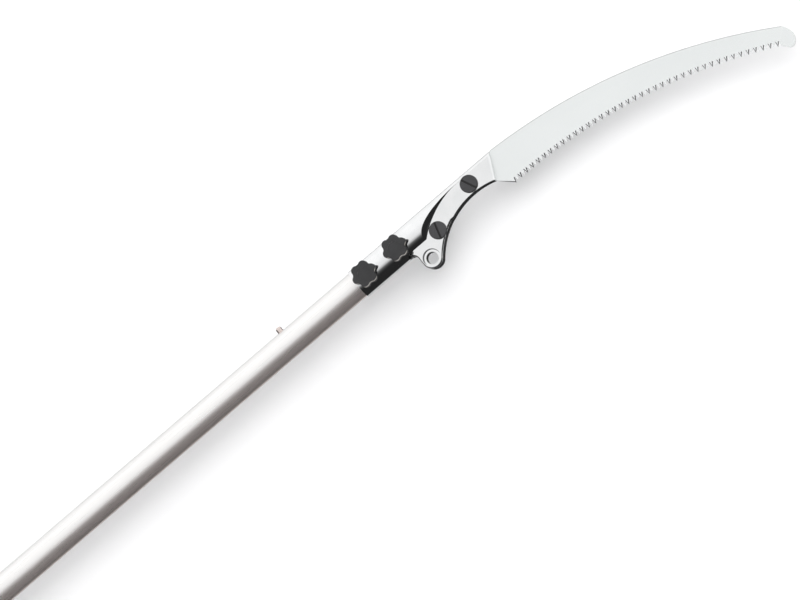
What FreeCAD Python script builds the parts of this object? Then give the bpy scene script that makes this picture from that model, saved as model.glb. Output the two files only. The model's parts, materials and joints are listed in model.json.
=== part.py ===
# Telescoping pole saw: a curved saw blade in a cast head, on a two-section oval aluminium pole.
# Frame: Z runs up the pole, the butt end's flat face is at z = 0 and centred on the origin,
# the blade lies in the XZ plane and its teeth face +X, and the knobs are on the -Y side.
# Units are millimetres.
import FreeCAD, Part
import math
import os

from FreeCAD import Vector

# --- driving dimensions: pole ---------------------------------------------------------------
OVAL_NOSE_RADIUS = 10.3      # radius of the oval's two narrow ends (upper tube, outside)
OVAL_NOSE_OFFSET = 7.0       # how far each narrow end's centre is from the axis, along X
OVAL_FLAT_HALF = 13.5        # the oval's half width along Y
TUBE_WALL = 1.6
TUBE_GAP = 1.6               # radial gap between the upper tube and the lower tube
RUNNING_GAP = 0.35           # between pieces that slide past each other
LOWER_TUBE_BOTTOM = 4.0
LOWER_TUBE_TOP = 760.0
UPPER_TUBE_BOTTOM = 635.0
HEAD_Z = 1415.0              # mouth of the head's socket
SOCKET_DEPTH = 80.0

# --- driving dimensions: collar, lever and lower fittings -------------------------------------
COLLAR_BOTTOM = 700.0
COLLAR_TOP = 772.0
COLLAR_WALL = 4.0
COLLAR_ROUND = 2.0
SCREW_RADIUS = 1.6
SCREW_LENGTH = 5.6
SCREW_HEAD = (3.6, 2.2)      # radius and height
SCREW_CROSS = (1.9, 0.5)     # half length and half width of each arm of the cross recess
SCREW_ABOVE_BOTTOM = 13.0
EAR_INNER = 9.2              # the collar's two ears, measured out from the middle along Y
EAR_OUTER = 14.0
EAR_BELOW_PIN = 17.0
EAR_ABOVE_PIN = 13.0
EAR_ROUND_PIN = 7.5
LOCK_HOLE_Z = 748.0          # hole that the snap button drops into when the pole is closed
CAM_Z = 738.0                # height of the lever's pin and of the shoe's middle
CAM_RADIUS = 8.0
CAM_DROP = 0.9               # how much the cam's radius falls while the lever opens
LEVER_SWING = 110.0          # degrees
LEVER_LENGTH = 74.0
LEVER_WIDTH = 18.0
LEVER_ROUND = 1.6
PIN_RADIUS = 3.0
PIN_LENGTH = 31.0
SHOE_HEIGHT = 20.0
SHOE_WIDTH = 14.0
GRIP_BOTTOM = 60.0
GRIP_TOP = 330.0
GRIP_WALL = 3.0
GRIP_BEAD = (10.0, 1.8)      # length and height of the bead at each end
GRIP_RINGS = 11
GRIP_RING = (3.0, 1.0)       # width and depth
CAP_HEIGHT = 44.0

# --- driving dimensions: head and blade. u is along the pole from the socket's mouth, and v is
# across it towards the teeth, so u is height above HEAD_Z and v is X ---------------------------
SLEEVE_WALL = 1.6
PLATE_HALF = 9.75            # half thickness of the head's plate
FRONT_TOP = (220.4, -16.0)   # the plate's front edge, from the spine side
FRONT_LOW = (206.4, 12.5)    # to the toothed side
LOBE_CENTRE = (89.2, 35.2)
LOBE_RADIUS = 12.8
RING_RADIUS = 7.5
RING_SEAT_RADIUS = 10.7      # the shallow round seat about the ring's hole, on both faces
RING_SEAT_DEPTH = 3.4
FINGER_CENTRE = (175.0, 106.0)
WEB_ARC_CENTRE = (69.5, 25.2)
WEB_ARC_RADIUS = 7.0
SCOOP_CENTRE = (172.1, 97.7)
SCOOP_RADIUS = 111.6
SCOOP_SLOPE = 1.4            # how fast the scoop widens towards the head's outer faces
EDGE_ROUND = 2.2
FRONT_BEVEL = 1.6
BLADE_THICKNESS = 1.6
SLOT_CLEARANCE = 0.05
TANG_MARGIN = 2.0
TANG_WIDTH = 18.0
SLOT_MOUTH_U = 200.0         # from here to the front edge the slot is open across the head
BLADE_BOLTS = ((115.7, 14.8, 106.0), (179.3, -3.5, 66.0))   # u, v and the slot's angle
BOLT_HEAD_RADIUS = 10.9
BOLT_HEAD_HEIGHT = 3.0
BOLT_RADIUS = 4.0
BOLT_SLOT = (2.4, 1.5)       # width and depth
BOLT_BACK = 19.5             # how far each bolt reaches past the middle, towards +Y
BOLT_WASHER = (8.0, 1.4)     # radius and thickness
NUT_HEIGHT = 6.6
NUT_ACROSS = 13.0
SPINE_RADIUS = 749.4
SPINE_CENTRE = (184.9, 729.2)
TEETH_RADIUS = 749.4
TEETH_CENTRE = (226.6, 779.9)
TOOTH_COUNT = 79
TOOTH_DEPTH = 6.4
HEEL = (223.3, 30.5)         # where the neck meets the first tooth
TEETH_END_U = 570.0
SPINE_END_U = 586.0

# --- driving dimensions: knobs, snap button ----------------------------------------------------
KNOB_US = {"lower": 16.5, "upper": 64.2}
BOSS_TOP = 16.0              # height of the flats that the knobs' washers and nuts sit on
BOSS_RADIUS = 10.6
WASHER_RADIUS = 11.0
WASHER_THICKNESS = 1.5
SEAT_GAP = 0.05
KNOB_HUB_HEIGHT = 3.2
KNOB_HUB_RADIUS = 9.0
KNOB_BODY_HEIGHT = 10.0
KNOB_LOBES = 6
KNOB_LOBE_RADIUS = 5.7
KNOB_LOBE_CENTRE = 10.5
KNOB_NOTCH = 13.4            # from the knob's centre to the bottom of a hollow
KNOB_ROUND = 1.4
KNOB_DISH = (7.6, 0.5)      # radius and depth of the round hollow in the top
STUD_RADIUS = 3.95
STUD_IN_KNOB = 6.0
STUD_BACK = 25.0             # how far the stud reaches past the axis, towards +Y
BUTTON_U = -107.8
BUTTON_RADIUS = 3.75
BUTTON_PROUD = 6.5
BUTTON_FLANGE = (5.15, 1.6)  # radius and thickness
BUTTON_FLANGE_GAP = 2.2      # the flange sits below the narrow end's inner wall
SPRING_THICK = 0.7
SPRING_FOLD = 46.0           # how far below the button the leaf spring folds back

SIDE_CENTRE = (OVAL_NOSE_OFFSET ** 2 - OVAL_FLAT_HALF ** 2 + 2 * OVAL_FLAT_HALF
               * OVAL_NOSE_RADIUS - OVAL_NOSE_RADIUS ** 2) / (2 * (OVAL_FLAT_HALF
                                                                  - OVAL_NOSE_RADIUS))
SIDE_RADIUS = OVAL_FLAT_HALF + SIDE_CENTRE
OVAL_HALF = OVAL_NOSE_OFFSET + OVAL_NOSE_RADIUS
LOWER_IN = TUBE_GAP
LOWER_OUT = TUBE_GAP + TUBE_WALL
X, Y, Z = Vector(1, 0, 0), Vector(0, 1, 0), Vector(0, 0, 1)


# --- helpers -----------------------------------------------------------------------------------
def oval(offset, low, high):
    """The pole's oval section, moved out by offset, from height low to height high."""
    nose = OVAL_NOSE_RADIUS + offset
    side = SIDE_RADIUS + offset
    length = math.hypot(OVAL_NOSE_OFFSET, SIDE_CENTRE)
    tx = OVAL_NOSE_OFFSET + nose * OVAL_NOSE_OFFSET / length
    ty = nose * SIDE_CENTRE / length
    right = OVAL_NOSE_OFFSET + nose
    top = side - SIDE_CENTRE
    corner = [Vector(tx, -ty, low), Vector(tx, ty, low), Vector(-tx, ty, low), Vector(-tx, -ty, low)]
    middle = [Vector(right, 0, low), Vector(0, top, low), Vector(-right, 0, low), Vector(0, -top, low)]
    edges = [Part.Arc(corner[i], middle[i], corner[(i + 1) % 4]).toShape() for i in range(4)]
    return Part.Face(Part.Wire(edges)).extrude(Vector(0, 0, high - low))


def oval_tube(outer, inner, low, high):
    return oval(outer, low, high).cut(oval(inner, low - 1, high + 1))


def head_point(u, v, h=0.0):
    """A point of the head: u along the pole, v towards the teeth, h towards the knobs."""
    return Vector(v, -h, HEAD_Z + u)


def on_arc(centre, radius, u):
    """The point of an arc at u, on the side of the arc's centre that faces the spine."""
    return (u, centre[1] - math.sqrt(radius ** 2 - (u - centre[0]) ** 2))


def outline(pieces, half):
    """A plate from -half to +half along Y. Each piece is a list of 2 points, or 3 for an arc."""
    edges = []
    for piece in pieces:
        points = [head_point(*p, h=half) for p in piece]
        line = Part.Arc(*points) if len(points) == 3 else Part.LineSegment(*points)
        edges.append(line.toShape())
    return Part.Face(Part.Wire(edges)).extrude(Vector(0, 2 * half, 0))


def disc(u, v, radius, low, high):
    """A cylinder along Y in the head, between the heights low and high towards the knobs."""
    return Part.makeCylinder(radius, high - low, head_point(u, v, high), Y)


def hexagon(u, v, across, low, high):
    """A hexagonal prism along Y in the head."""
    corner = across / math.sqrt(3)
    points = [head_point(u + corner * math.cos(math.radians(60 * i)),
                         v + corner * math.sin(math.radians(60 * i)), high) for i in range(7)]
    return Part.Face(Part.makePolygon(points)).extrude(Vector(0, high - low, 0))


def box(x, y, z):
    """A box from three (low, high) pairs."""
    return Part.makeBox(x[1] - x[0], y[1] - y[0], z[1] - z[0], Vector(x[0], y[0], z[0]))


def rounded(solid, radius, wanted):
    """Round the edges for which wanted(edge) is true."""
    return solid.makeFillet(radius, [edge for edge in solid.Edges if wanted(edge)])


def at_height(edge, z):
    return all(abs(vertex.Z - z) < 0.01 for vertex in edge.Vertexes)


def save(name, shape):
    shape.exportStep("parts/" + name + ".step")


# --- pole --------------------------------------------------------------------------------------
def upper_tube():
    tube = oval_tube(0, -TUBE_WALL, UPPER_TUBE_BOTTOM, HEAD_Z + SOCKET_DEPTH - 2)
    for u in KNOB_US.values():
        tube = tube.cut(disc(u, 0, STUD_RADIUS + RUNNING_GAP, -30, 30))
    hole = Part.makeCylinder(BUTTON_RADIUS + 0.1, 20, Vector(-25, 0, HEAD_Z + BUTTON_U), X)
    return tube.cut(hole)


def lower_tube():
    tube = oval_tube(LOWER_OUT, LOWER_IN, LOWER_TUBE_BOTTOM, LOWER_TUBE_TOP)
    for x, y, z, direction in screw_places():
        tube = tube.cut(Part.makeCylinder(SCREW_RADIUS, 12, Vector(x, y, z) - direction * 8, direction))
    return tube.cut(shoe_window()).cut(lock_hole())


def shoe_window():
    margin = 0.4
    return box((14, 50), (-SHOE_WIDTH / 2 - margin, SHOE_WIDTH / 2 + margin),
               (CAM_Z - SHOE_HEIGHT / 2 - margin, CAM_Z + SHOE_HEIGHT / 2 + margin))


def lock_hole():
    return Part.makeCylinder(BUTTON_RADIUS + 0.4, 30, Vector(-40, 0, LOCK_HOLE_Z), X)


def glide_plug():
    """The plastic plug that closes the upper tube's lower end and guides it in the lower tube."""
    flange = oval(TUBE_GAP - RUNNING_GAP, UPPER_TUBE_BOTTOM - 8, UPPER_TUBE_BOTTOM)
    plug = oval(-TUBE_WALL, UPPER_TUBE_BOTTOM, UPPER_TUBE_BOTTOM + 26)
    hollow = oval(-TUBE_WALL - 2.5, UPPER_TUBE_BOTTOM - 5, UPPER_TUBE_BOTTOM + 27)
    return flange.fuse(plug).cut(hollow).removeSplitter()


def collar_bush():
    """The plastic bush between the two tubes at the lower tube's mouth."""
    sleeve = oval(LOWER_IN, LOWER_TUBE_TOP - 42, LOWER_TUBE_TOP)
    rim = oval(LOWER_OUT, LOWER_TUBE_TOP, LOWER_TUBE_TOP + 2)
    bush = sleeve.fuse(rim).cut(oval(RUNNING_GAP, LOWER_TUBE_TOP - 60, COLLAR_TOP))
    return bush.cut(shoe_window()).cut(lock_hole()).removeSplitter()


def collar_body():
    """The moulded collar on the lower tube's mouth, with the two ears that hold the lever."""
    shell = oval(LOWER_OUT + COLLAR_WALL, COLLAR_BOTTOM, COLLAR_TOP)
    shell = rounded(shell, COLLAR_ROUND, lambda e: at_height(e, COLLAR_TOP) or at_height(e, COLLAR_BOTTOM))
    ears = [collar_ear(side) for side in (-1, 1)]
    body = shell.fuse(ears)
    body = body.cut(oval(LOWER_OUT, COLLAR_BOTTOM - 1, LOWER_TUBE_TOP + 2))
    body = body.cut(oval(0.8, COLLAR_BOTTOM, COLLAR_TOP + 1))
    body = body.cut(shoe_window()).cut(lock_hole())
    body = body.cut(Part.makeCylinder(PIN_RADIUS, 60, Vector(cam_x(), -30, CAM_Z), Y))
    for x, y, z, direction in screw_places():
        hole = Part.makeCylinder(SCREW_RADIUS, 12, Vector(x, y, z) - direction * 8, direction)
        body = body.cut(hole)
    return body.removeSplitter()


def collar_ear(side):
    """One of the two ears that hold the lever's pin, sloped off below where the lever lies."""
    near, far = sorted((side * EAR_INNER, side * EAR_OUTER))
    low = CAM_Z - EAR_BELOW_PIN
    ear = box((10, cam_x()), (near, far), (low, CAM_Z + EAR_ABOVE_PIN))
    eye = Part.makeCylinder(EAR_ROUND_PIN, EAR_OUTER - EAR_INNER, Vector(cam_x(), near, CAM_Z), Y)
    root = OVAL_HALF + LOWER_OUT + COLLAR_WALL
    corners = [(root, low - 1), (cam_x() + 12, low - 1), (cam_x() + 12, low + 10), (cam_x(), low + 10),
               (root, low - 1)]
    slope = Part.Face(Part.makePolygon([Vector(x, near - 1, z) for x, z in corners]))
    return ear.fuse(eye).cut(slope.extrude(Vector(0, EAR_OUTER - EAR_INNER + 2, 0)))


def cam_x():
    """Where the lever's pin is, out from the pole's axis."""
    return OVAL_HALF + LOWER_OUT + COLLAR_WALL + 0.5 + CAM_RADIUS


def screw_places():
    """The screws that hold the collar on the lower tube: the point under each head."""
    out = SIDE_RADIUS - SIDE_CENTRE + LOWER_OUT + COLLAR_WALL
    return [(0, side * out, COLLAR_BOTTOM + SCREW_ABOVE_BOTTOM, Vector(0, side, 0)) for side in (-1, 1)]


def collar_screws():
    """Two round-headed screws, each with a cross recess."""
    radius, height = SCREW_HEAD
    long, narrow = SCREW_CROSS
    screws = []
    for x, y, z, direction in screw_places():
        start = Vector(x, y, z)
        crown = y + direction.y * height
        shank = Part.makeCylinder(SCREW_RADIUS, SCREW_LENGTH, start - direction * SCREW_LENGTH, direction)
        head = Part.makeCylinder(radius, height, start, direction)
        head = rounded(head, height / 2, lambda e: all(abs(v.Y - crown) < 0.01 for v in e.Vertexes))
        cross = box((-narrow, narrow), (0, height), (-long, long))
        cross = cross.fuse(box((-long, long), (0, height), (-narrow, narrow)))
        cross.translate(start + direction * height - Y * (height / 2))
        screws.append(shank.fuse(head).cut(cross))
    return Part.makeCompound(screws)


def lever_pin():
    pin = Part.makeCylinder(PIN_RADIUS, PIN_LENGTH, Vector(cam_x(), -PIN_LENGTH / 2, CAM_Z), Y)
    return pin.makeChamfer(0.6, [e for e in pin.Edges if len(e.Vertexes) == 1])


def clamp_lever():
    """The lever: a spiral cam on the pin, and an arm that lies down along the pole when locked."""
    def place(out, down):
        """A point of the lever's side, out from the cam's face and down from the pin."""
        return Vector(cam_x() - CAM_RADIUS + out, -LEVER_WIDTH / 2, CAM_Z - down)

    fall = CAM_DROP / math.radians(LEVER_SWING)
    points = []
    for step in range(12):
        swing = math.radians(LEVER_SWING + 20) * step / 11
        radius = CAM_RADIUS - fall * swing
        points.append(place(CAM_RADIUS - radius * math.cos(swing), -radius * math.sin(swing)))
    curve = Part.BSplineCurve()
    curve.interpolate(points)
    heel, knee = place(0, 3), place(1.6, 12)
    tip_in, tip_mid = place(3.2, LEVER_LENGTH), place(6.8, LEVER_LENGTH + 3.2)
    tip_out = place(9.6, LEVER_LENGTH - 1)
    waist, shoulder = place(7.0, LEVER_LENGTH * 0.62), place(CAM_RADIUS + 5.4, 12)
    back = place(CAM_RADIUS + 7.4, 0)
    edges = [curve.toShape(), Part.Arc(tip_in, tip_mid, tip_out).toShape(),
             Part.Arc(tip_out, waist, shoulder).toShape()]
    for start, end in ((points[0], heel), (heel, knee), (knee, tip_in), (shoulder, back),
                       (back, points[-1])):
        edges.append(Part.LineSegment(start, end).toShape())
    lever = Part.Face(Part.Wire(Part.__sortEdges__(edges))).extrude(Vector(0, LEVER_WIDTH, 0))
    lever = rounded(lever, LEVER_ROUND, lambda e: all(v.Z < CAM_Z - 11 for v in e.Vertexes)
                    and abs(e.Vertexes[0].Y - e.Vertexes[-1].Y) < 0.01)
    return lever.cut(Part.makeCylinder(PIN_RADIUS + 0.06, 40, Vector(cam_x(), -20, CAM_Z), Y))


def clamp_shoe():
    """The block that the cam presses against the upper tube, through a window in the collar."""
    shoe = box((14, cam_x() - CAM_RADIUS - SEAT_GAP), (-SHOE_WIDTH / 2, SHOE_WIDTH / 2),
               (CAM_Z - SHOE_HEIGHT / 2, CAM_Z + SHOE_HEIGHT / 2))
    return shoe.cut(oval(0.06, CAM_Z - 30, CAM_Z + 30))


def hand_grip():
    """The rubber grip, with a raised bead at each end and shallow rings for the fingers."""
    outer = LOWER_OUT + GRIP_WALL
    length, height = GRIP_BEAD
    width, depth = GRIP_RING
    grip = oval(outer, GRIP_BOTTOM, GRIP_TOP)
    for low, high in ((GRIP_BOTTOM, GRIP_BOTTOM + length), (GRIP_TOP - length, GRIP_TOP)):
        bead = oval(outer + height, low, high)
        bead = rounded(bead, height - 0.1, lambda e: at_height(e, low) or at_height(e, high))
        grip = grip.fuse(bead)
    margin = 3 * length
    spacing = (GRIP_TOP - GRIP_BOTTOM - 2 * margin) / (GRIP_RINGS - 1)
    for ring in range(GRIP_RINGS):
        low = GRIP_BOTTOM + margin + ring * spacing - width / 2
        grip = grip.cut(oval_tube(outer + 1, outer - depth, low, low + width))
    return grip.cut(oval(LOWER_OUT, GRIP_BOTTOM - 1, GRIP_TOP + 1)).removeSplitter()


def end_cap():
    """The butt cap: a cup over the lower tube's end with a flat face to rest on."""
    cup = oval(LOWER_OUT + 3.2, 0, CAP_HEIGHT)
    cup = rounded(cup, 2.4, lambda e: at_height(e, 0) or at_height(e, CAP_HEIGHT))
    cup = cup.cut(oval_tube(LOWER_OUT, LOWER_IN, LOWER_TUBE_BOTTOM, CAP_HEIGHT + 1))
    hollow = oval(LOWER_IN - 3, LOWER_TUBE_BOTTOM, CAP_HEIGHT + 1)
    top = oval(LOWER_IN, CAP_HEIGHT - 8, CAP_HEIGHT + 1)
    return cup.cut(hollow).cut(top).removeSplitter()


# --- head --------------------------------------------------------------------------------------
def finger_radius():
    """The finger curve is as large as makes it run on smoothly from the ring's lobe."""
    gap = math.hypot(FINGER_CENTRE[0] - LOBE_CENTRE[0], FINGER_CENTRE[1] - LOBE_CENTRE[1])
    return gap - LOBE_RADIUS


def head_plate():
    """The flat plate that holds the blade, with the ring's lobe, its edges rounded."""
    finger = finger_radius()
    turn = math.atan2(FINGER_CENTRE[1] - LOBE_CENTRE[1], FINGER_CENTRE[0] - LOBE_CENTRE[0])
    join = (LOBE_CENTRE[0] + LOBE_RADIUS * math.cos(turn), LOBE_CENTRE[1] + LOBE_RADIUS * math.sin(turn))
    lobe_left = (LOBE_CENTRE[0] - LOBE_RADIUS, LOBE_CENTRE[1])
    lobe_low = (LOBE_CENTRE[0], LOBE_CENTRE[1] + LOBE_RADIUS)
    web_low = (WEB_ARC_CENTRE[0] + WEB_ARC_RADIUS, WEB_ARC_CENTRE[1])
    web_high = (WEB_ARC_CENTRE[0], WEB_ARC_CENTRE[1] - WEB_ARC_RADIUS)
    half = WEB_ARC_RADIUS * math.sqrt(0.5)
    web_mid = (WEB_ARC_CENTRE[0] + half, WEB_ARC_CENTRE[1] - half)
    end = on_arc(FINGER_CENTRE, finger, FRONT_LOW[0])
    spine_v = -13.0
    inside = (WEB_ARC_CENTRE[0], 8.0)
    front = (FRONT_TOP[0] - 1.0, spine_v)
    plate = outline([(inside, web_high), (web_high, web_mid, web_low), (web_low, lobe_left),
                     (lobe_left, lobe_low, join), (join, on_arc(FINGER_CENTRE, finger, 150), end),
                     (end, front), (front, (100.0, spine_v)), ((100.0, spine_v), (100.0, 8.0)),
                     ((100.0, 8.0), inside)], PLATE_HALF)

    def on_face(edge):
        flat = all(abs(abs(vertex.Y) - PLATE_HALF) < 0.01 for vertex in edge.Vertexes)
        return flat and edge.BoundBox.XMax > 10.0
    return rounded(plate, EDGE_ROUND, on_face)


def head_core():
    """The oval socket, which runs on to the blade as a ridge that the scoops cut away."""
    core = oval(SLEEVE_WALL, HEAD_Z, HEAD_Z + 226)
    (u0, v0), (u1, v1) = FRONT_LOW, FRONT_TOP
    rise = (u1 - u0) / (v1 - v0)
    beyond = outline([((u0 + rise * (40 - v0), 40), (u0 + rise * (-40 - v0), -40)),
                      ((u0 + rise * (-40 - v0), -40), (260, -40)), ((260, -40), (260, 40)),
                      ((260, 40), (u0 + rise * (40 - v0), 40))], 40)
    core = core.cut(beyond).cut(disc(*FINGER_CENTRE, finger_radius(), -30, 30))
    reach = 7.0
    for side in (1, -1):
        base = head_point(*SCOOP_CENTRE, h=side * PLATE_HALF)
        cone = Part.makeCone(SCOOP_RADIUS, SCOOP_RADIUS + SCOOP_SLOPE * reach, reach, base,
                             Vector(0, -side, 0))
        core = core.cut(cone)
        y = sorted((-side * PLATE_HALF, -side * (PLATE_HALF + reach)))
        core = core.cut(box((SCOOP_CENTRE[1] - SCOOP_RADIUS, 40), y,
                            (HEAD_Z + SCOOP_CENTRE[0], HEAD_Z + 230)))
    return core


def front_bevel(side):
    """What is ground off along the front edge of one face."""
    (u0, v0), (u1, v1) = FRONT_LOW, FRONT_TOP
    length = math.hypot(u1 - u0, v1 - v0)
    du, dv = (u1 - u0) / length, (v1 - v0) / length
    past = 10.0

    def corner(out, h):
        return head_point(u0 - dv * out - du * past, v0 + du * out - dv * past, side * (PLATE_HALF + h))
    ring = [corner(-FRONT_BEVEL - past, past), corner(past, -FRONT_BEVEL - past), corner(past, past)]
    wedge = Part.Face(Part.makePolygon(ring + ring[:1]))
    return wedge.extrude(Vector(dv, 0, du) * (length + 2 * past))


def blade_slot(half, margin):
    """The space that the blade's tang takes up in the head, margin in from the finger curve."""
    radius = finger_radius()
    wide = Part.makeCylinder(radius + TANG_MARGIN + TANG_WIDTH, 2 * half,
                             head_point(*FINGER_CENTRE, h=half), Y)
    if margin > 0:
        wide = wide.cut(Part.makeCylinder(radius + margin, 2 * half,
                                          head_point(*FINGER_CENTRE, h=half), Y))
    slot = wide.common(box((-30, 60), (-half, half), (HEAD_Z + 104, HEAD_Z + 232)))
    mouth = box((-30, 14), (-half, half), (HEAD_Z + SLOT_MOUTH_U, HEAD_Z + 232))
    return slot if margin > 0 else slot.fuse(mouth)


def head():
    body = head_core().fuse(head_plate())
    for u in KNOB_US.values():
        body = body.fuse(disc(u, 0, BOSS_RADIUS, -BOSS_TOP, BOSS_TOP))
    body = body.cut(oval(SEAT_GAP, HEAD_Z - 1, HEAD_Z + SOCKET_DEPTH))
    for u in KNOB_US.values():
        body = body.cut(disc(u, 0, STUD_RADIUS + RUNNING_GAP, -30, 30))
    for u, v, _ in BLADE_BOLTS:
        body = body.cut(disc(u, v, BOLT_RADIUS + 0.1, -30, 30))
    body = body.cut(disc(*LOBE_CENTRE, RING_RADIUS, -30, 30))
    for low in (PLATE_HALF - RING_SEAT_DEPTH, -PLATE_HALF - 1):
        body = body.cut(disc(*LOBE_CENTRE, RING_SEAT_RADIUS, low, low + RING_SEAT_DEPTH + 1))
    for side in (1, -1):
        body = body.cut(front_bevel(side))
    return body.cut(blade_slot(BLADE_THICKNESS / 2 + SLOT_CLEARANCE, 0)).removeSplitter()


# --- blade -------------------------------------------------------------------------------------
def teeth_points():
    """The toothed edge from the heel: tip, gullet, tip and so on along the arc."""
    start = math.atan2(HEEL[0] - TEETH_CENTRE[0], TEETH_CENTRE[1] - HEEL[1])
    end = math.asin((TEETH_END_U - TEETH_CENTRE[0]) / TEETH_RADIUS)
    points = []
    for half_step in range(2 * TOOTH_COUNT + 1):
        turn = start + (end - start) * half_step / (2 * TOOTH_COUNT)
        radius = TEETH_RADIUS + (TOOTH_DEPTH if half_step % 2 else 0.0)
        points.append((TEETH_CENTRE[0] + radius * math.sin(turn),
                       TEETH_CENTRE[1] - radius * math.cos(turn)))
    return points


def blade():
    """The curved blade. Its tang runs back between the head's cheeks to the two bolts."""
    half = BLADE_THICKNESS / 2
    teeth = teeth_points()
    spine_start = (221.0, on_arc(SPINE_CENTRE, SPINE_RADIUS, 221.0)[1])
    spine_mid = on_arc(SPINE_CENTRE, SPINE_RADIUS, 400.0)
    spine_end = on_arc(SPINE_CENTRE, SPINE_RADIUS, SPINE_END_U)
    nose = [(teeth[-1], (572.6, 116.4), (575.4, 119.6)), ((575.4, 119.6), (580.0, 123.0), (585.0, 121.4)),
            ((585.0, 121.4), (589.6, 115.4), (590.4, 108.0)),
            ((590.4, 108.0), (589.2, 102.8), spine_end)]
    neck = (205.4, 12.9)
    body = [(spine_start, spine_mid, spine_end)]
    body += [tuple(reversed(piece)) for piece in reversed(nose)]
    body += [(teeth[i + 1], teeth[i]) for i in reversed(range(len(teeth) - 1))]
    body += [(teeth[0], neck), (neck, (200.0, 8.0)), ((200.0, 8.0), (202.0, -12.0)),
             ((202.0, -12.0), spine_start)]
    solid = outline(body, half).fuse(blade_slot(half, TANG_MARGIN))
    for u, v, _ in BLADE_BOLTS:
        solid = solid.cut(disc(u, v, BOLT_RADIUS + 0.1, -5, 5))
    return solid.removeSplitter()


# --- blade bolts -------------------------------------------------------------------------------
def blade_bolts():
    width, depth = BOLT_SLOT
    bolts = []
    for u, v, angle in BLADE_BOLTS:
        top = PLATE_HALF + BOLT_HEAD_HEIGHT
        head = disc(u, v, BOLT_HEAD_RADIUS, PLATE_HALF, top)
        head = rounded(head, 1.0, lambda e: all(abs(x.Y + top) < 0.01 for x in e.Vertexes))
        slot = box((-width / 2, width / 2), (-top - 1, -top + depth), (-20, 20))
        slot.rotate(Vector(0, 0, 0), Y, angle)
        slot.translate(head_point(u, v))
        bolts.append(head.fuse(disc(u, v, BOLT_RADIUS, -BOLT_BACK, PLATE_HALF)).cut(slot))
    return Part.makeCompound(bolts)


def blade_washers():
    radius, thick = BOLT_WASHER
    return Part.makeCompound([disc(u, v, radius, -PLATE_HALF - thick, -PLATE_HALF)
                              .cut(disc(u, v, BOLT_RADIUS + 0.2, -20, 0)) for u, v, _ in BLADE_BOLTS])


def blade_nuts():
    top = -PLATE_HALF - BOLT_WASHER[1]
    return Part.makeCompound([hexagon(u, v, NUT_ACROSS, top - NUT_HEIGHT, top)
                              .cut(disc(u, v, BOLT_RADIUS + 0.05, -30, 0)) for u, v, _ in BLADE_BOLTS])


# --- knobs -------------------------------------------------------------------------------------
def knob_edges(u, turn, half, h):
    """One lobe of the knob's outline, and the hollow after it, as two arcs that run smoothly on."""
    def around(distance, angle):
        return Vector(distance * math.cos(angle), distance * math.sin(angle), 0)
    lobe = around(KNOB_LOBE_CENTRE, turn)
    spread = KNOB_LOBE_CENTRE ** 2 + KNOB_NOTCH ** 2 - 2 * KNOB_LOBE_CENTRE * KNOB_NOTCH * math.cos(half)
    hollow_radius = ((spread - KNOB_LOBE_RADIUS ** 2)
                     / (2 * (KNOB_LOBE_RADIUS - KNOB_NOTCH + KNOB_LOBE_CENTRE * math.cos(half))))
    share = KNOB_LOBE_RADIUS / (KNOB_LOBE_RADIUS + hollow_radius)
    before, after = [lobe + (around(KNOB_NOTCH + hollow_radius, turn + side * half) - lobe) * share
                     for side in (-1, 1)]
    next_lobe = around(KNOB_LOBE_CENTRE, turn + 2 * half)
    end = next_lobe + (around(KNOB_NOTCH + hollow_radius, turn + half) - next_lobe) * share
    arcs = [(before, around(KNOB_LOBE_CENTRE + KNOB_LOBE_RADIUS, turn), after),
            (after, around(KNOB_NOTCH, turn + half), end)]
    return [Part.Arc(*[head_point(u + p.x, p.y, h) for p in arc]).toShape() for arc in arcs]


def knob(u):
    """A lobed hand knob on a short round hub."""
    low = BOSS_TOP + 2 * SEAT_GAP + WASHER_THICKNESS
    base = low + KNOB_HUB_HEIGHT
    top = base + KNOB_BODY_HEIGHT
    edges = []
    for lobe in range(KNOB_LOBES):
        turn = 2 * math.pi * lobe / KNOB_LOBES
        edges += knob_edges(u, turn, math.pi / KNOB_LOBES, base)
    body = Part.Face(Part.Wire(Part.__sortEdges__(edges))).extrude(Vector(0, base - top, 0))
    body = rounded(body, KNOB_ROUND, lambda e: all(abs(x.Y + top) < 0.01 for x in e.Vertexes))
    body = rounded(body, KNOB_ROUND / 2, lambda e: all(abs(x.Y + base) < 0.01 for x in e.Vertexes))
    body = body.fuse(disc(u, 0, KNOB_HUB_RADIUS, low, base))
    radius, depth = KNOB_DISH
    body = body.cut(disc(u, 0, radius, top - depth, top + 1))
    return body.cut(disc(u, 0, STUD_RADIUS, low - 1, base + STUD_IN_KNOB))


def knob_stud(u):
    """The steel stud moulded into the knob, which goes right through the head and the tube."""
    base = BOSS_TOP + 2 * SEAT_GAP + WASHER_THICKNESS + KNOB_HUB_HEIGHT
    stud = disc(u, 0, STUD_RADIUS, -STUD_BACK, base + STUD_IN_KNOB)
    return stud.makeChamfer(0.8, [e for e in stud.Edges if len(e.Vertexes) == 1
                                  and e.Vertexes[0].Y > 0])


def knob_washer(u):
    low = BOSS_TOP + SEAT_GAP
    ring = disc(u, 0, WASHER_RADIUS, low, low + WASHER_THICKNESS)
    return ring.cut(disc(u, 0, STUD_RADIUS + 0.3, 0, 30))


def knob_nuts():
    """The nuts at the back of the head that the studs screw into."""
    return Part.makeCompound([hexagon(u, 0, NUT_ACROSS, -BOSS_TOP - NUT_HEIGHT, -BOSS_TOP)
                              .cut(disc(u, 0, STUD_RADIUS + 0.05, -40, 0)) for u in KNOB_US.values()])


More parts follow.
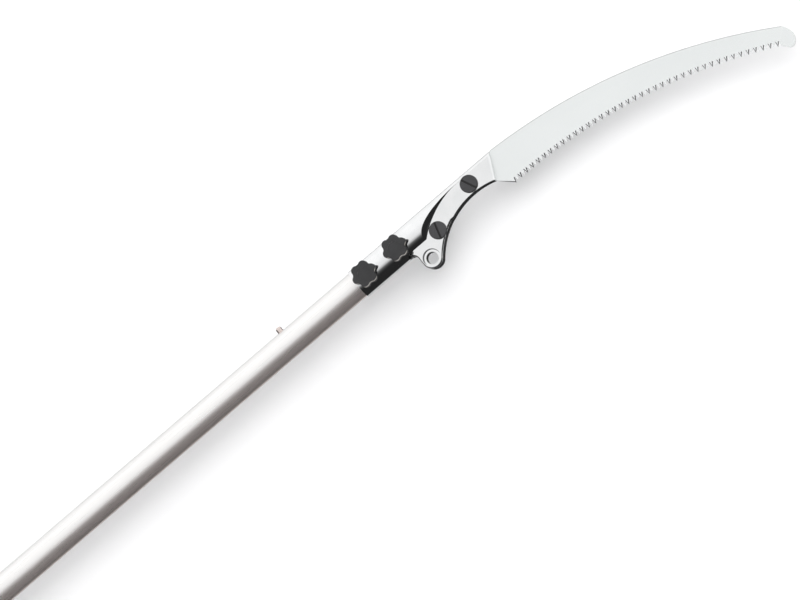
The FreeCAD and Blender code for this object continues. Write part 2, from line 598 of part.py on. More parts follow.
# --- snap button -------------------------------------------------------------------------------
def snap_button():
    """The button that snaps into the collar when the pole is closed. It presses in along +X."""
    z = HEAD_Z + BUTTON_U
    tip = -OVAL_HALF - BUTTON_PROUD
    inner = -OVAL_HALF + TUBE_WALL + BUTTON_FLANGE_GAP
    button = Part.makeCylinder(BUTTON_RADIUS, inner - tip, Vector(tip, 0, z), X)
    button = rounded(button, 2.2, lambda e: abs(e.BoundBox.XMax - tip) < 0.01)
    radius, thick = BUTTON_FLANGE
    return button.fuse(Part.makeCylinder(radius, thick, Vector(inner, 0, z), X))


def button_spring():
    """The V-shaped leaf spring that pushes the button out from the tube's far wall."""
    z = HEAD_Z + BUTTON_U
    near = -OVAL_HALF + TUBE_WALL + BUTTON_FLANGE_GAP + BUTTON_FLANGE[1]
    far = OVAL_HALF - TUBE_WALL - 0.6
    fold = z - SPRING_FOLD
    points = [(near, z + 6), (near + SPRING_THICK, z + 6), (near + SPRING_THICK, z - 8),
              (0.0, fold + 1.2), (far - SPRING_THICK, z - 8), (far - SPRING_THICK, z + 10),
              (far, z + 10), (far, z - 8.4), (0.0, fold - 1.0), (near, z - 8.4), (near, z + 6)]
    face = Part.Face(Part.makePolygon([Vector(px, -3, pz) for px, pz in points]))
    return face.extrude(Vector(0, 6, 0))


def main():
    os.makedirs("parts", exist_ok=True)
    save("lower_tube", lower_tube())
    save("upper_tube", upper_tube())
    save("glide_plug", glide_plug())
    save("collar_bush", collar_bush())
    save("collar_body", collar_body())
    save("collar_screws", collar_screws())
    save("lever_pin", lever_pin())
    save("clamp_lever", clamp_lever())
    save("clamp_shoe", clamp_shoe())
    save("hand_grip", hand_grip())
    save("end_cap", end_cap())
    save("saw_head", head())
    save("saw_blade", blade())
    save("blade_bolts", blade_bolts())
    save("blade_washers", blade_washers())
    save("blade_nuts", blade_nuts())
    for name, u in KNOB_US.items():
        save("knob_" + name, knob(u))
        save("knob_stud_" + name, knob_stud(u))
        save("knob_washer_" + name, knob_washer(u))
    save("knob_nuts", knob_nuts())
    save("snap_button", snap_button())
    save("button_spring", button_spring())


main()
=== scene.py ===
# Looks of the telescoping pole saw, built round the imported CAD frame. Units are metres.
import json
import math

import bmesh
import bpy
from mathutils import Matrix, Vector


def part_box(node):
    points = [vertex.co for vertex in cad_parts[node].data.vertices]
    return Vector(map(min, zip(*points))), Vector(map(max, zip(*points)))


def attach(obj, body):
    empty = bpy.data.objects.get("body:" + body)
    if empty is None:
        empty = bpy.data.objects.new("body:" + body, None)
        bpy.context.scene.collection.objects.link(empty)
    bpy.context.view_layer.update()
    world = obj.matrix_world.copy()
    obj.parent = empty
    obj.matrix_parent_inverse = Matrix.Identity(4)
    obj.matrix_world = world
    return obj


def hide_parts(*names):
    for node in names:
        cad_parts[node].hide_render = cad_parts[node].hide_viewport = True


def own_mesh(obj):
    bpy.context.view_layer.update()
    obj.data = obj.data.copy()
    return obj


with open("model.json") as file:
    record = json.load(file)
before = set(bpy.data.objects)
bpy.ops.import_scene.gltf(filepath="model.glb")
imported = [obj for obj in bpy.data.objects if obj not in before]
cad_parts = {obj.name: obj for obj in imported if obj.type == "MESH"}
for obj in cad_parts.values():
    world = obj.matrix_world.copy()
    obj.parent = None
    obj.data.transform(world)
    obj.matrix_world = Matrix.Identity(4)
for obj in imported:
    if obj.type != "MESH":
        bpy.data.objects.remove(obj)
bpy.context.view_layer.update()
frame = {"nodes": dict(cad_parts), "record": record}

# --- camera: it looks at a point near the head's socket ------------------------------------
HEAD_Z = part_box("saw_head")[0][2]          # mouth of the head's socket
CAMERA_DISTANCE = 20.0
CAMERA_AZIMUTH = 10.3                      # degrees
CAMERA_ELEVATION = 6.3
CAMERA_REACH = 200.0                       # the furthest that the camera sees
PICTURE_WIDTH = 0.9504                     # width of what the camera sees, at the object
PICTURE_CENTRE = (0.0470, 0.0266)          # from the socket's mouth: towards the teeth, up the pole
POLE_SLOPE = 40.58                         # degrees that the pole rises in the picture
SENSOR = 36.0                              # millimetres

# --- studio --------------------------------------------------------------------------------
FLOOR_HALF = 8.0
BACKDROP_Y = 0.048                         # just behind the object, which drops its shadow on it
BACKDROP_HALF = 3.0
SUN_STRENGTH = 1.28
SUN_WIDTH = 58.0                           # a wide softbox, in degrees
SUN_SIDE = 14.0                            # degrees towards the spine side
SUN_SLOPE = 0.15                           # how high it stands, against how far out
DIFFUSE_GAIN = 1.50                        # how much more the studio lights matt surfaces
CEILING = 1.0                              # brightness of the studio's ceiling
CEILING_START = 0.71667                    # where the ceiling begins: the height of a direction
FLOOR_START = -0.95714                     # and where the dark floor ends
FLOOR_LEVEL = 0.05                         # how bright that floor is, against the walls
# How bright the walls are at each azimuth: -90 is the -X side, 0 the -Y side.
WALLS = [(-180, 0.03), (-167, 0.04), (-158, 0.18), (-146, 0.48), (-130, 0.95), (-80, 1.06),
         (-40, 1.04), (-10, 0.90), (0, 0.86), (6, 0.80), (16, 0.55), (26, 0.14), (36, 0.05),
         (47, 0.02), (120, 0.02), (132, 0.04), (143, 0.85), (156, 0.85), (165, 0.05), (180, 0.03)]
WALLS_MOST = 1.2                           # the curve's own scale, above its highest value

# --- head and button -----------------------------------------------------------------------
BOLT_TOP = 0.01245                         # just under the bolt heads' tops, out from the middle; behind it the bolts get painted shade
KNOB_RIM = 0.0294                          # where the knobs' rounded rims begin, likewise; past it the painted rim highlight goes
RING_X = 0.0352                            # centre of the head's ring: towards the teeth
RING_U = 0.0892                            # and up from the socket's mouth
SEAT_RADIUS = 0.0108                       # outside of the round seat about the ring
SEAT_LINE = 0.0004                         # half the width of the painted shade line along its corner
PLATE_START = 0.070                        # where the socket ends and the plate begins
PLATE_SIDES = 0.65                         # how dark the painted dark reflection on the plate's sides is
CREASE_X = 0.0184                          # centre of the painted shade in the crease between the socket and the ring's lobe
CREASE_U = 0.0708
CREASE_RADIUS = 0.0040

# --- blade: u is up the pole from the socket's mouth, v is towards the teeth ---------------
SPINE_RADIUS = 0.7494
SPINE_CENTRE = (0.1849, 0.7292)
SPINE_TEETH_START = 0.2225                 # the stretch of the spine that lies opposite the teeth
SPINE_TEETH_END = 0.5845
SPINE_END = 0.586                          # where the nose begins
TEETH_RADIUS = 0.7494
TEETH_CENTRE = (0.2266, 0.7799)
TEETH_END_U = 0.570                        # tip of the last tooth
TOOTH_COUNT = 79                           # spaces from the first tip to the last
TOOTH_DEPTH = 0.0064
HEEL = (0.2233, 0.0305)                    # tip of the first tooth
NOSE_ARCS = (((0.5892, 0.1028), (0.5904, 0.1080)), ((0.5896, 0.1154), (0.5850, 0.1214)),
             ((0.5800, 0.1230), (0.5754, 0.1196)))   # a middle point and an end point for each
NOSE_LAST = (0.5726, 0.1164)               # middle point of the arc back to the last tooth
NOSE_STEPS = 6
NOSE_LAST_STEPS = 5
NECK = (0.2054, 0.0129)                    # between the heel and the tang's inner edge
FINGER_CENTRE = (0.175, 0.106)             # centre of the tang's two edges
TANG_OUTER = 0.1184                        # radii of those edges
TANG_INNER = 0.1004
TANG_SHOULDER_U = 0.215
TANG_SHOULDER_STEP = 0.002                 # how far the shoulder is set in from the spine
TANG_START = (0.202, -0.012)
TANG_END_U = 0.106
TANG_INNER_END_U = 0.200
TANG_STEPS = 8
SPINE_TAPER = 0.0002                       # how much each face falls away towards the spine
SPINE_CHAMFER = 0.0006
BEVEL_TOP = 0.74                           # share of its height that a bevelled tooth's face has
BEVEL_ROOT = 0.44                          # share of its half width that its root is set in

# --- colours that the materials mix in -------------------------------------------------------
# Painted shade on the chrome head: its crease, the ring seat's corner and the plate's sides.
PAINTED_SHADE_DARK = (0.10, 0.10, 0.105, 1.0)
# Painted shade in the bolts' slots and behind their tops.
PAINTED_SLOT_SHADE = (0.004, 0.004, 0.004, 1.0)
# Painted highlight on the knobs' rims.
PAINTED_RIM_HIGHLIGHT = (0.62, 0.59, 0.55, 1.0)
LIGHT_WHITE = (1.0, 1.0, 1.0, 1.0)
PAPER_WHITE = (0.92, 0.92, 0.925, 1.0)


# --- camera ------------------------------------------------------------------------------------
def add_camera():
    azimuth, elevation = math.radians(CAMERA_AZIMUTH), math.radians(CAMERA_ELEVATION)
    back = Vector((math.sin(azimuth) * math.cos(elevation),
                   -math.cos(azimuth) * math.cos(elevation), math.sin(elevation)))
    across = Vector((math.cos(azimuth), math.sin(azimuth), 0.0))
    along = back.cross(across)
    slope = math.radians(POLE_SLOPE)
    right = along * math.cos(slope) + across * math.sin(slope)
    up = along * math.sin(slope) - across * math.cos(slope)
    camera = bpy.data.objects.new("camera", bpy.data.cameras.new("camera"))
    camera.data.sensor_width = SENSOR
    camera.data.lens = SENSOR * CAMERA_DISTANCE / PICTURE_WIDTH
    camera.data.clip_end = CAMERA_REACH
    aim = Vector((PICTURE_CENTRE[0], 0.0, HEAD_Z + PICTURE_CENTRE[1]))
    turn = Matrix((right, up, back)).transposed().to_4x4()
    camera.matrix_world = Matrix.Translation(aim + back * CAMERA_DISTANCE) @ turn
    bpy.context.scene.collection.objects.link(camera)
    bpy.context.scene.camera = camera


# --- node helpers ------------------------------------------------------------------------------
class Nodes:
    """A short way to write a material's nodes."""

    def __init__(self, tree):
        self.tree = tree
        tree.nodes.clear()

    def add(self, kind, links=None, **settings):
        node = self.tree.nodes.new(kind)
        for name, value in settings.items():
            setattr(node, name, value)
        for socket, value in (links or {}).items():
            self.put(node, socket, value)
        return node

    def put(self, node, socket, value):
        target = node.inputs[socket]
        if isinstance(value, bpy.types.NodeSocket):
            self.tree.links.new(value, target)
        else:
            target.default_value = value

    def math(self, operation, *values, clamp=False):
        node = self.add("ShaderNodeMath", operation=operation, use_clamp=clamp)
        for index, value in enumerate(values):
            self.put(node, index, value)
        return node.outputs[0]

    def mask(self, value, start, slope):
        """0 up to start, then rising with the slope to 1. A negative slope rises the other way."""
        return self.math("MULTIPLY_ADD", value, slope, -start * slope, clamp=True)

    def weigh(self, first, second, share):
        """The first value's share and the rest of the second."""
        return self.math("ADD", self.math("MULTIPLY", first, share),
                         self.math("MULTIPLY", second, 1.0 - share))

    def ramp(self, factor, low, high, start=0.3):
        """Colours from low to high, as the factor goes from start to as far below 1."""
        node = self.add("ShaderNodeValToRGB", {"Fac": factor})
        stops = zip(node.color_ramp.elements, (start, 1.0 - start), (low, high))
        for element, place, colour in stops:
            element.position = place
            element.color = (*colour, 1.0)
        return node.outputs["Color"]

    def mix(self, factor, first, second):
        node = self.add("ShaderNodeMix", {0: factor, 6: first, 7: second}, data_type="RGBA")
        return node.outputs[2]

    def split(self, output):
        """The X, Y and Z of a place on the piece ("Object") or of its surface ("Normal")."""
        place = self.add("ShaderNodeTexCoord").outputs[output]
        made = self.add("ShaderNodeSeparateXYZ", {"Vector": place}).outputs
        return made["X"], made["Y"], made["Z"]

    def noise(self, x, y, z, detail=3.0):
        """Noise with this many grains to a metre along each axis."""
        place = self.add("ShaderNodeTexCoord").outputs["Object"]
        scaled = self.add("ShaderNodeMapping", {"Vector": place, "Scale": (x, y, z)})
        settings = {"Vector": scaled.outputs["Vector"], "Scale": 1.0, "Detail": detail,
                    "Roughness": 0.5}
        return self.add("ShaderNodeTexNoise", settings).outputs["Fac"]

    def beside(self, x, z, to_x, to_z):
        """How far a point is from the line through (to_x, to_z) along Y: aside, and in all."""
        aside = self.math("SUBTRACT", x, to_x)
        along = self.math("SUBTRACT", z, to_z)
        squares = self.math("ADD", self.math("MULTIPLY", aside, aside),
                            self.math("MULTIPLY", along, along))
        return aside, self.math("SQRT", squares)


def material(name, build):
    made = bpy.data.materials.new(name)
    made.use_nodes = True
    nodes = Nodes(made.node_tree)
    shader = nodes.add("ShaderNodeBsdfPrincipled")
    output = nodes.add("ShaderNodeOutputMaterial")
    nodes.tree.links.new(shader.outputs["BSDF"], output.inputs["Surface"])
    build(nodes, shader)
    return made


def bump(nodes, shader, height, strength, distance):
    settings = {"Height": height, "Strength": strength, "Distance": distance}
    nodes.put(shader, "Normal", nodes.add("ShaderNodeBump", settings).outputs["Normal"])


def roughen(nodes, shader, grain, least, spread):
    """Roughness from least, going up by spread with the grain."""
    nodes.put(shader, "Roughness", nodes.math("MULTIPLY_ADD", grain, spread, least))


# --- materials -----------------------------------------------------------------------------
def anodised(nodes, shader):
    """Satin tube with a lengthwise grain, with painted shade greying the side that faces the spine
    and a painted warm tint on the shaded side that faces the teeth.
    """
    grain = nodes.noise(2600, 2600, 14, 2.0)
    mixed = nodes.weigh(grain, nodes.noise(20, 20, 4), 0.6)
    pale = nodes.ramp(mixed, (0.89, 0.875, 0.865), (0.95, 0.94, 0.93))
    painted_warm_tint = nodes.ramp(mixed, (0.90, 0.80, 0.77), (0.96, 0.86, 0.83))
    painted_shade_grey = nodes.ramp(mixed, (0.64, 0.64, 0.635), (0.72, 0.715, 0.71))
    # Painted by surface direction: painted shade towards the spine, painted warm tint of the shaded
    # side towards the teeth.
    across = nodes.split("Normal")[0]
    colour = nodes.mix(nodes.mask(across, 0.1, 2.0), pale, painted_warm_tint)
    nodes.put(shader, "Base Color", nodes.mix(nodes.mask(across, -0.5, -2.2), colour, painted_shade_grey))
    shader.inputs["Metallic"].default_value = 0.78
    roughen(nodes, shader, grain, 0.24, 0.10)
    bump(nodes, shader, grain, 0.06, 0.0001)


def painted_seat_shade(nodes):
    """Painted shade: 1 along the corner of the seat about the head's ring, on the pole's side; 0
    elsewhere.
    """
    x, _, z = nodes.split("Object")
    aside, radius = nodes.beside(x, z, RING_X, HEAD_Z + RING_U)
    off = nodes.math("ABSOLUTE", nodes.math("SUBTRACT", radius, SEAT_RADIUS))
    line = nodes.mask(off, 1.6 * SEAT_LINE, -1.0 / SEAT_LINE)
    return nodes.math("MULTIPLY", line, nodes.mask(aside, 0.0025, -160.0))


def painted_crease_shade(nodes):
    """1 in the crease between socket and lobe, a painted shade; less on the plate's sides that face
    the teeth, a painted dark reflection.
    """
    x, _, z = nodes.split("Object")
    plate = nodes.mask(z, HEAD_Z + PLATE_START, 500.0)
    facing = nodes.mask(nodes.split("Normal")[0], 0.8, 8.0)
    away = nodes.beside(x, z, CREASE_X, HEAD_Z + CREASE_U)[1]
    crease = nodes.mask(away, CREASE_RADIUS, -1000.0)
    sides = nodes.math("MULTIPLY", nodes.math("MULTIPLY", plate, facing), PLATE_SIDES)
    return nodes.math("MAXIMUM", crease, sides)


def chrome(nodes, shader):
    cloud = nodes.noise(60, 60, 60, 4.0)
    bright = nodes.ramp(cloud, (0.87, 0.88, 0.885), (0.93, 0.935, 0.94))
    # Painted shade along the corner of the ring's seat.
    bright = nodes.mix(painted_seat_shade(nodes), bright, PAINTED_SHADE_DARK)
    # Painted shade in the crease, and a painted dark reflection on the plate's sides.
    nodes.put(shader, "Base Color", nodes.mix(painted_crease_shade(nodes), bright, PAINTED_SHADE_DARK))
    shader.inputs["Metallic"].default_value = 1.0
    roughen(nodes, shader, cloud, 0.04, 0.06)
    bump(nodes, shader, nodes.noise(45, 45, 45, 1.0), 0.08, 0.0004)


def steel(low, high, rough):
    def build(nodes, shader):
        grain = nodes.noise(900, 900, 900)
        nodes.put(shader, "Base Color", nodes.ramp(grain, low, high))
        shader.inputs["Metallic"].default_value = 1.0
        roughen(nodes, shader, grain, rough, 0.2)
        bump(nodes, shader, grain, 0.1, 0.00005)
    return build


def blade_steel(nodes, shader):
    """Plated steel, ground across the blade."""
    grind = nodes.noise(30, 30, 2200)
    mixed = nodes.weigh(grind, nodes.noise(12, 12, 7), 0.35)
    nodes.put(shader, "Base Color",
              nodes.ramp(mixed, (0.853, 0.878, 0.876), (0.897, 0.921, 0.919), 0.35))
    shader.inputs["Metallic"].default_value = 0.88
    roughen(nodes, shader, grind, 0.16, 0.14)
    bump(nodes, shader, grind, 0.05, 0.00005)


def ground_edge(low, high, metal):
    def build(nodes, shader):
        grind = nodes.noise(2000, 2000, 2000, 2.0)
        nodes.put(shader, "Base Color", nodes.ramp(grind, low, high))
        shader.inputs["Metallic"].default_value = metal
        roughen(nodes, shader, grind, 0.25, 0.15)
    return build


def plastic(low, high, rough, size=1500.0, depth=0.15):
    def build(nodes, shader):
        fine = nodes.noise(size, size, size, 2.0)
        mixed = nodes.weigh(fine, nodes.noise(35, 35, 35), 0.5)
        nodes.put(shader, "Base Color", nodes.ramp(mixed, low, high, 0.35))
        roughen(nodes, shader, fine, rough, 0.15)
        bump(nodes, shader, fine, depth, 0.0001)
    return build


def bolt_paint(nodes, shader):
    """Satin black paint, with painted shade making it near black everywhere set back from the bolt
    heads' tops, as in the slots.
    """
    plastic((0.024, 0.024, 0.026), (0.044, 0.044, 0.047), 0.30)(nodes, shader)
    paint = shader.inputs["Base Color"].links[0].from_socket
    # Painted shade: near black in the slots and everywhere behind the heads' tops.
    slot_shade = nodes.mask(nodes.split("Object")[1], -BOLT_TOP, 4000.0)
    nodes.put(shader, "Base Color", nodes.mix(slot_shade, paint, PAINTED_SLOT_SHADE))


def knob_moulding(nodes, shader):
    """Black moulded plastic, with a painted highlight along the rounded rim on the teeth's side."""
    plastic((0.018, 0.018, 0.019), (0.034, 0.034, 0.036), 0.46)(nodes, shader)
    paint = shader.inputs["Base Color"].links[0].from_socket
    # Painted highlight on the rim, where it faces the teeth.
    rim = nodes.mask(nodes.split("Object")[1], -KNOB_RIM, -3000.0)
    rim = nodes.math("MULTIPLY", rim, nodes.mask(nodes.split("Normal")[0], 0.4, 4.0))
    nodes.put(shader, "Base Color", nodes.mix(rim, paint, PAINTED_RIM_HIGHLIGHT))


def make_materials():
    builders = {
        "anodised_aluminium": anodised,
        "polished_chrome": chrome,
        "blade_steel": blade_steel,
        "ground_edge": ground_edge((0.24, 0.245, 0.25), (0.34, 0.345, 0.35), 0.6),
        "spine_edge": ground_edge((0.20, 0.205, 0.21), (0.30, 0.305, 0.31), 0.7),
        # Near-black tooth flanks: hardened teeth are dark, and the flanks are painted darker still,
        # a painted dark reflection.
        "tooth_flank": ground_edge((0.012, 0.012, 0.013), (0.03, 0.03, 0.032), 0.5),
        "zinc_steel": steel((0.60, 0.61, 0.62), (0.72, 0.73, 0.74), 0.22),
        "spring_steel": steel((0.34, 0.35, 0.37), (0.46, 0.47, 0.50), 0.25),
        "button_steel": steel((0.74, 0.63, 0.59), (0.88, 0.78, 0.74), 0.18),
        "black_bolt": bolt_paint,
        "knob_plastic": knob_moulding,
        "collar_plastic": plastic((0.024, 0.025, 0.027), (0.040, 0.041, 0.043), 0.42),
        "lever_plastic": plastic((0.040, 0.041, 0.043), (0.060, 0.061, 0.063), 0.33),
        "grip_rubber": plastic((0.020, 0.020, 0.021), (0.034, 0.034, 0.035), 0.62, 900.0, 0.35),
        "nylon": plastic((0.68, 0.68, 0.64), (0.78, 0.78, 0.75), 0.4),
    }
    return {name: material(name + "_look", build) for name, build in builders.items()}


def dress_frame(materials):
    """Give every CAD node the material of its slot."""
    slots = {part["node"]: part["material_slot"] for part in frame["record"]["subparts"]}
    for node, slot in slots.items():
        for place in bpy.data.objects[node].material_slots:
            place.material = materials[slot]


# --- blade -------------------------------------------------------------------------------------
def at(u, v, y):
    """A point of the head or blade: u up the pole from the socket's mouth, v towards the teeth."""
    return Vector((v, y, HEAD_Z + u))


def on_arc(centre, radius, u):
    """How far towards the teeth an arc is at u. Its centre lies past it on that side."""
    return centre[1] - math.sqrt(radius ** 2 - (u - centre[0]) ** 2)


def arc_through(a, b, c, steps):
    """Points on the arc through a, b and c, after a and up to c."""
    ax, ay, bx, by, cx, cy = *a, *b, *c
    d = 2 * (ax * (by - cy) + bx * (cy - ay) + cx * (ay - by))
    squares = [x * x + y * y for x, y in (a, b, c)]
    ox = (squares[0] * (by - cy) + squares[1] * (cy - ay) + squares[2] * (ay - by)) / d
    oy = (squares[0] * (cx - bx) + squares[1] * (ax - cx) + squares[2] * (bx - ax)) / d
    radius = math.hypot(ax - ox, ay - oy)
    start, middle, end = [math.atan2(y - oy, x - ox) for x, y in (a, b, c)]
    turn = (math.remainder(middle - start, 2 * math.pi)
            + math.remainder(end - middle, 2 * math.pi))
    angles = [start + turn * i / steps for i in range(1, steps + 1)]
    return [(ox + radius * math.cos(angle), oy + radius * math.sin(angle)) for angle in angles]


def between(start, end, share):
    """The point at this share of the way from start to end, both (u, v)."""
    return start[0] + (end[0] - start[0]) * share, start[1] + (end[1] - start[1]) * share


def on_teeth(radius, turn):
    """A point on an arc about the teeth's centre."""
    return TEETH_CENTRE[0] + radius * math.sin(turn), TEETH_CENTRE[1] - radius * math.cos(turn)


def blade_outline():
    """Spine points, gullet points and tooth tips, all as (u, v), from the heel to the nose.

    There are two to a tooth: the even ones lie at its tip, and the odd ones between two teeth.
    """
    start = math.atan2(HEEL[0] - TEETH_CENTRE[0], TEETH_CENTRE[1] - HEEL[1])
    end = math.asin((TEETH_END_U - TEETH_CENTRE[0]) / TEETH_RADIUS)
    spine, gullets, tips = [], [], []
    for half_step in range(2 * TOOTH_COUNT + 1):
        share = half_step / (2 * TOOTH_COUNT)
        turn = start + (end - start) * share
        gullets.append(on_teeth(TEETH_RADIUS + TOOTH_DEPTH, turn))
        tips.append(on_teeth(TEETH_RADIUS, turn))
        u = SPINE_TEETH_START + (SPINE_TEETH_END - SPINE_TEETH_START) * share
        spine.append((u, on_arc(SPINE_CENTRE, SPINE_RADIUS, u)))
    return spine, gullets, tips


def half_teeth():
    """Each half of each tooth: its step, the step at its tip and the one between two teeth."""
    for step in range(2 * TOOTH_COUNT):
        yield (step, step, step + 1) if step % 2 == 0 else (step, step + 1, step)


def blade_row(made, outline, side, half):
    """The vertices of one face of the blade. Its bevelled teeth are cut back at tip and root."""
    spine, gullets, tips = outline
    thin = half - SPINE_TAPER
    row = {"edge": [made.verts.new(at(u, v, side * (thin - SPINE_TAPER))) for u, v in spine],
           "spine": [made.verts.new(at(u, v + SPINE_CHAMFER, side * thin)) for u, v in spine],
           "gullet": [made.verts.new(at(u, v, side * half)) for u, v in gullets],
           "root": {}, "tip": {}}
    for step in range(0, len(tips), 2):
        bevelled = (step // 2) % 2 == (0 if side < 0 else 1)
        tip = between(gullets[step], tips[step], BEVEL_TOP if bevelled else 1.0)
        row["tip"][step] = made.verts.new(at(*tip, side * half))
        for flank in (step - 1, step + 1):
            if bevelled and 0 <= flank < len(tips):
                root = between(gullets[flank], gullets[step], BEVEL_ROOT)
                row["root"][(step, flank)] = made.verts.new(at(*root, side * half))
    return row


def make_blade(materials):
    """The blade with its ground teeth: every other tooth is bevelled on the other face."""
    low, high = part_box("saw_blade")
    half = (high[1] - low[1]) / 2
    made = bmesh.new()
    outline = blade_outline()
    rows = {side: blade_row(made, outline, side, half) for side in (-1, 1)}
    faces = {kind: [] for kind in ("blade_steel", "ground_edge", "spine_edge", "tooth_flank")}

    def fill(kind, *corners):
        faces[kind].append(made.faces.new(corners))

    for row in rows.values():
        edge, spine, gullet = row["edge"], row["spine"], row["gullet"]
        for step, tip, flank in half_teeth():
            root = row["root"].get((tip, flank))
            fill("blade_steel", spine[step], spine[step + 1], gullet[step + 1],
                 *([root] if root else []), gullet[step])
            fill("spine_edge", edge[step], edge[step + 1], spine[step + 1], spine[step])
            fill("blade_steel", root or gullet[flank], gullet[tip], row["tip"][tip])
    for step, tip, flank in half_teeth():
        for side, row in rows.items():
            root, other = row["root"].get((tip, flank)), rows[-side]
            if root:
                fill("tooth_flank", row["tip"][tip], root, other["gullet"][flank],
                     other["tip"][tip])
                fill("tooth_flank", root, row["gullet"][flank], other["gullet"][flank])
        front, back = rows[-1]["edge"], rows[1]["edge"]
        fill("spine_edge", front[step + 1], front[step], back[step], back[step + 1])
    spine, _, tips = outline
    close_end(made, fill, rows, 2 * TOOTH_COUNT, blade_nose(tips[-1]), half)
    close_end(made, fill, rows, 0, blade_tang(spine[0]), half)

    mesh = bpy.data.meshes.new("blade_ground")
    for index, kind in enumerate(faces):
        mesh.materials.append(materials[kind])
        for item in faces[kind]:
            item.material_index = index
    bmesh.ops.recalc_face_normals(made, faces=made.faces)
    made.to_mesh(mesh)
    made.free()
    piece = bpy.data.objects.new("blade_ground", mesh)
    bpy.context.scene.collection.objects.link(piece)
    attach(piece, "upper_pole")
    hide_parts("saw_blade")


def close_end(made, fill, rows, step, outline, half):
    """Fill one end of the blade: its two faces, and the wall round its outline."""
    loops = {}
    for side, row in rows.items():
        ring = [made.verts.new(at(u, v, side * half)) for u, v in outline]
        loops[side] = [row["spine"][step]] + ring + [row["tip"][step]]
        fill("blade_steel", *loops[side], row["gullet"][step])
    front, back = loops[-1], loops[1]
    for place in range(len(front) - 1):
        fill("ground_edge", front[place], front[place + 1], back[place + 1], back[place])
    fill("spine_edge", rows[-1]["edge"][step], rows[-1]["spine"][step], rows[1]["spine"][step],
         rows[1]["edge"][step])


def blade_nose(tip):
    """The blunt nose past the last tooth, from the spine round to that tooth."""
    points = [(SPINE_END, on_arc(SPINE_CENTRE, SPINE_RADIUS, SPINE_END))]
    for middle, end in NOSE_ARCS:
        points += arc_through(points[-1], middle, end, NOSE_STEPS)
    points += arc_through(points[-1], NOSE_LAST, tip, NOSE_LAST_STEPS)[:-1]
    return points


def tang_edge(radius, start, end):
    """Points along one of the tang's two edges, from u = start to u = end."""
    places = [start + (end - start) * i / TANG_STEPS for i in range(TANG_STEPS + 1)]
    return [(u, on_arc(FINGER_CENTRE, radius, u)) for u in places]


def blade_tang(spine):
    """The tang inside the head, from the spine's end round to the first tooth."""
    shoulder = (TANG_SHOULDER_U, spine[1] + TANG_SHOULDER_STEP)
    return [shoulder, TANG_START, *tang_edge(TANG_OUTER, TANG_START[0], TANG_END_U),
            *tang_edge(TANG_INNER, TANG_END_U, TANG_INNER_END_U), NECK]


def make_spring(materials):
    """The leaf spring behind the snap button.

    It gets its own copy of the mesh and moves with the upper pole.
    """
    node = frame["nodes"]["button_spring"]
    piece = bpy.data.objects.new("leaf_spring", node.data.copy())
    piece.matrix_world = node.matrix_world
    bpy.context.scene.collection.objects.link(piece)
    for place in piece.material_slots:
        place.material = materials["spring_steel"]
    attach(piece, "upper_pole")
    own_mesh(piece)
    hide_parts("button_spring")


# --- studio --------------------------------------------------------------------------------
def wall_light(nodes, degrees):
    """How bright the studio's walls are at an azimuth."""
    share = nodes.math("DIVIDE", nodes.math("ADD", degrees, 180.0), 360.0)
    node = nodes.add("ShaderNodeFloatCurve", {"Value": share})
    curve = node.mapping.curves[0]
    for angle, value in WALLS[1:-1]:
        curve.points.new((angle + 180) / 360, value / WALLS_MOST)
    curve.points[0].location = (0.0, WALLS[0][1] / WALLS_MOST)
    curve.points[-1].location = (1.0, WALLS[-1][1] / WALLS_MOST)
    for point in curve.points:
        point.handle_type = "VECTOR"
    node.mapping.update()
    return nodes.math("MULTIPLY", node.outputs["Value"], WALLS_MOST)


def studio_light():
    """A white studio with a dark side towards +X, which the polished parts mirror."""
    world = bpy.data.worlds.new("studio")
    bpy.context.scene.world = world
    world.use_nodes = True
    nodes = Nodes(world.node_tree)
    direction = nodes.add("ShaderNodeTexCoord").outputs["Generated"]
    split = nodes.add("ShaderNodeSeparateXYZ", {"Vector": direction}).outputs
    turn = nodes.math("ARCTAN2", split["X"], nodes.math("MULTIPLY", split["Y"], -1.0))
    level = wall_light(nodes, nodes.math("MULTIPLY", turn, 180.0 / math.pi))
    above = nodes.mask(split["Z"], CEILING_START, 6.0)
    above = nodes.math("MULTIPLY", above, nodes.mask(split["X"], -0.075, 4.0))
    level = nodes.math("MULTIPLY_ADD", nodes.math("SUBTRACT", CEILING, level), above, level)
    below = nodes.mask(split["Z"], FLOOR_START, 7.0)
    level = nodes.math("MULTIPLY", level,
                       nodes.math("MULTIPLY_ADD", below, 1.0 - FLOOR_LEVEL, FLOOR_LEVEL))
    rays = nodes.add("ShaderNodeLightPath").outputs
    gain = nodes.math("MULTIPLY_ADD", rays["Is Diffuse Ray"], DIFFUSE_GAIN - 1.0, 1.0)
    level = nodes.math("MULTIPLY", level, gain)
    strength = nodes.math("MAXIMUM", level, rays["Is Camera Ray"])
    back = nodes.add("ShaderNodeBackground", {"Color": LIGHT_WHITE, "Strength": strength})
    out = nodes.add("ShaderNodeOutputWorld")
    nodes.tree.links.new(back.outputs["Background"], out.inputs["Surface"])
    bpy.context.scene.view_settings.view_transform = "Standard"


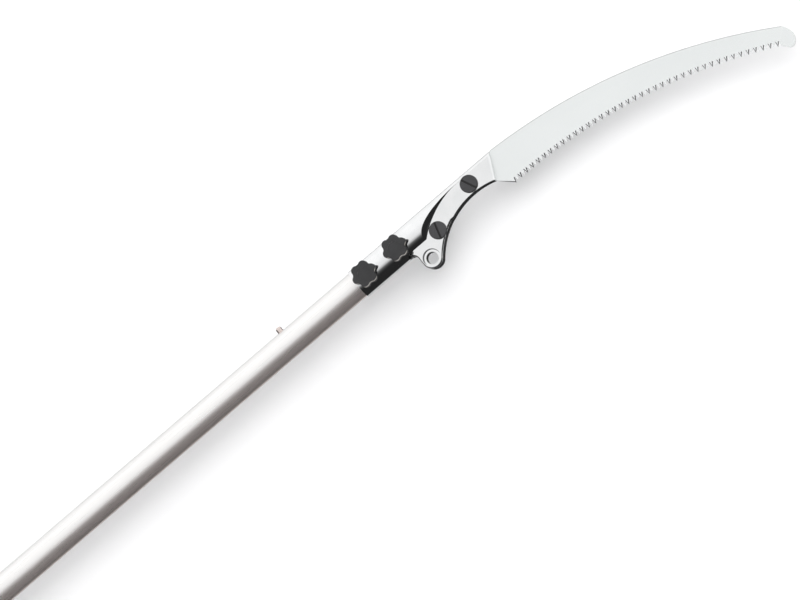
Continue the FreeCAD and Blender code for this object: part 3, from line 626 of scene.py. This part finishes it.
def plane(name, corners, shade):
    mesh = bpy.data.meshes.new(name)
    mesh.from_pydata(corners, [], [(0, 1, 2, 3)])
    made = bpy.data.objects.new(name, mesh)
    bpy.context.scene.collection.objects.link(made)
    mesh.materials.append(shade)
    return made


def paper(name, one_sided):
    """White studio paper. One-sided paper is clear from behind, so that the back can be seen."""
    made = bpy.data.materials.new(name)
    made.use_nodes = True
    nodes = Nodes(made.node_tree)
    surface = nodes.add("ShaderNodeBsdfDiffuse", {"Color": PAPER_WHITE}).outputs["BSDF"]
    if one_sided:
        clear = nodes.add("ShaderNodeBsdfTransparent").outputs["BSDF"]
        behind = nodes.add("ShaderNodeNewGeometry").outputs["Backfacing"]
        mixed = nodes.add("ShaderNodeMixShader", {0: behind, 1: surface, 2: clear})
        surface = mixed.outputs["Shader"]
    out = nodes.add("ShaderNodeOutputMaterial")
    nodes.tree.links.new(surface, out.inputs["Surface"])
    return made


def add_floor_and_backdrop():
    """Neither shows in the polished parts. The backdrop only shows the object's shadow."""
    size = FLOOR_HALF
    floor = plane("floor", [(-size, -size, 0), (size, -size, 0), (size, size, 0),
                            (-size, size, 0)], paper("floor_paper", False))
    floor.visible_glossy = False
    wide = BACKDROP_HALF
    wall = plane("backdrop", [(-wide, BACKDROP_Y, 0), (wide, BACKDROP_Y, 0),
                              (wide, BACKDROP_Y, 2 * wide), (-wide, BACKDROP_Y, 2 * wide)],
                 paper("backdrop_paper", True))
    wall.visible_diffuse = False
    wall.visible_glossy = False
    wall.visible_shadow = False


def add_softbox():
    lamp = bpy.data.lights.new("softbox", "SUN")
    lamp.energy = SUN_STRENGTH
    lamp.angle = math.radians(SUN_WIDTH)
    made = bpy.data.objects.new("softbox", lamp)
    side = math.radians(SUN_SIDE)
    towards = Vector((-math.sin(side), -math.cos(side), SUN_SLOPE))
    made.rotation_euler = towards.to_track_quat("Z", "Y").to_euler()
    made.visible_glossy = False
    bpy.context.scene.collection.objects.link(made)


materials = make_materials()
dress_frame(materials)
make_blade(materials)
make_spring(materials)
add_camera()
studio_light()
add_floor_and_backdrop()
add_softbox()
